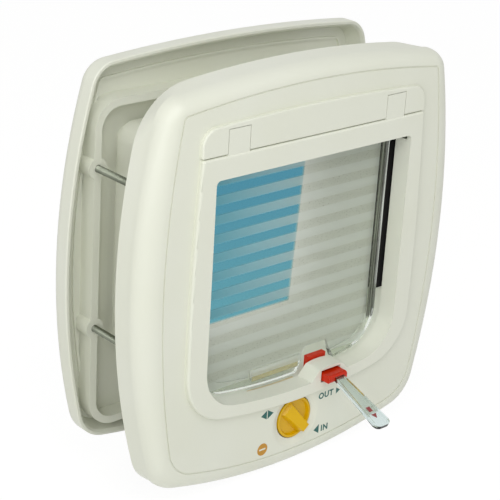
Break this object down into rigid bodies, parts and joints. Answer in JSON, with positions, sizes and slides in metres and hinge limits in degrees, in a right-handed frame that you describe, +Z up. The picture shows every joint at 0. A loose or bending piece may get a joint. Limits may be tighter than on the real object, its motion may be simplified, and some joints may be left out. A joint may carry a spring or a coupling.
{
  "type": "cat flap",
  "caption": "Framed pet door: a clear swinging flap in a tunnel between two barrel-shaped frames, with a turn-knob lock and a passage indicator.",
  "frame": {"origin": "middle of the passage, on the plane where the room-side frame meets the door", "axes": "+X along the width, to the right as seen from the room; +Y from the room through the door; +Z up"},
  "size_m": [0.2208, 0.1208, 0.2304],
  "materials": {
    "ivory_abs": "moulded ABS, fine satin gloss",
    "clear_flap": "clear polystyrene sheet moulding with frosted print bands",
    "clear_pointer": "clear moulded styrene",
    "yellow_abs": "moulded ABS, gloss",
    "red_abs": "moulded ABS, gloss",
    "white_latch": "moulded acetal",
    "zinc_steel": "zinc-plated steel, plain",
    "spring_steel": "plain spring steel",
    "magnet": "sintered ferrite bar in a tan jacket",
    "black_pile": "brushed pile strip"
  },
  "bodies": {
    "frame": {"front_cover": "ivory_abs", "hinge_bar": "ivory_abs", "window_bezel": "ivory_abs", "front_base": "ivory_abs", "tunnel_sleeve": "ivory_abs", "rear_frame": "ivory_abs", "side_seal_left": "black_pile", "side_seal_right": "black_pile", "sill_magnet": "magnet", "flap_axle": "zinc_steel", "screw_upper_left": "zinc_steel", "screw_upper_right": "zinc_steel", "screw_lower_left": "zinc_steel", "screw_lower_right": "zinc_steel"},
    "flap": {"flap_panel": "clear_flap", "flap_magnet": "magnet"},
    "knob": {"lock_knob": "yellow_abs", "knob_clip": "spring_steel"},
    "room_latch": {"latch_room_side": "white_latch"},
    "door_latch": {"latch_door_side": "white_latch"},
    "indicator": {"indicator_rocker": "red_abs", "indicator_pointer": "clear_pointer"}
  },
  "joints": [
    {"name": "flap_swing", "type": "hinge", "parent": "frame", "child": "flap", "pos_m": [0, -0.0085, 0.0686], "axis": [1, 0, 0], "range_deg": [-60, 75]},
    {"name": "knob_turn", "type": "hinge", "parent": "frame", "child": "knob", "pos_m": [0, -0.016, -0.0856], "axis": [0, 1, 0], "continuous": true},
    {"name": "latch_room_lift", "type": "slide", "parent": "frame", "child": "room_latch", "axis": [0, 0, 1], "range_m": [0, 0.006]},
    {"name": "latch_door_lift", "type": "slide", "parent": "frame", "child": "door_latch", "axis": [0, 0, 1], "range_m": [0, 0.006]},
    {"name": "indicator_rock", "type": "hinge", "parent": "frame", "child": "indicator", "pos_m": [0.0216, -0.0174, -0.0637], "axis": [1, 0, 0], "range_deg": [-6, 6]}
  ]
}
